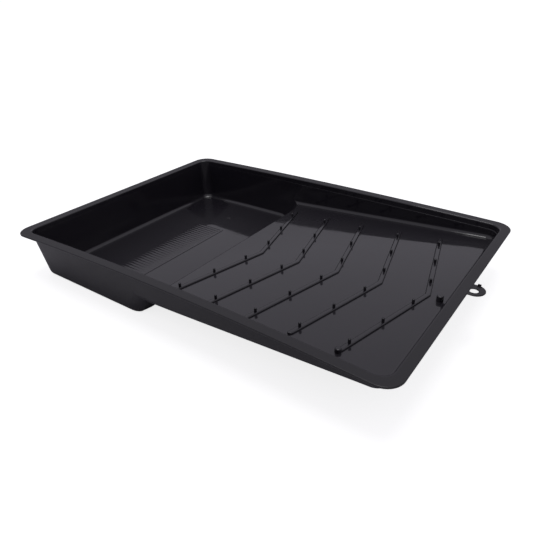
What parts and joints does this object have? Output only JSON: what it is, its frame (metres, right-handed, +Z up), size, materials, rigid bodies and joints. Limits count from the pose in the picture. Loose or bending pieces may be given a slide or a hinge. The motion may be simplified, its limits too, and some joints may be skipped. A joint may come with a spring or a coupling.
{
  "type": "paint roller tray",
  "caption": "Moulded roller tray with a deep paint well at one end, a gently sloping ribbed ramp, a flat rim and a hanging eye.",
  "frame": {"origin": "on the ground plane, under the middle of the overall length, hanging eye included", "axes": "+X from the deep well to the ramp's shallow end, +Y across the tray, +Z up out of the tray's mouth"},
  "size_m": [0.4014, 0.2692, 0.0504],
  "materials": {
    "black_plastic": "black polypropylene: glossy inside the basin, satin on the rim and outside walls"
  },
  "bodies": {
    "root": {"tray": "black_plastic"}
  },
  "joints": []
}
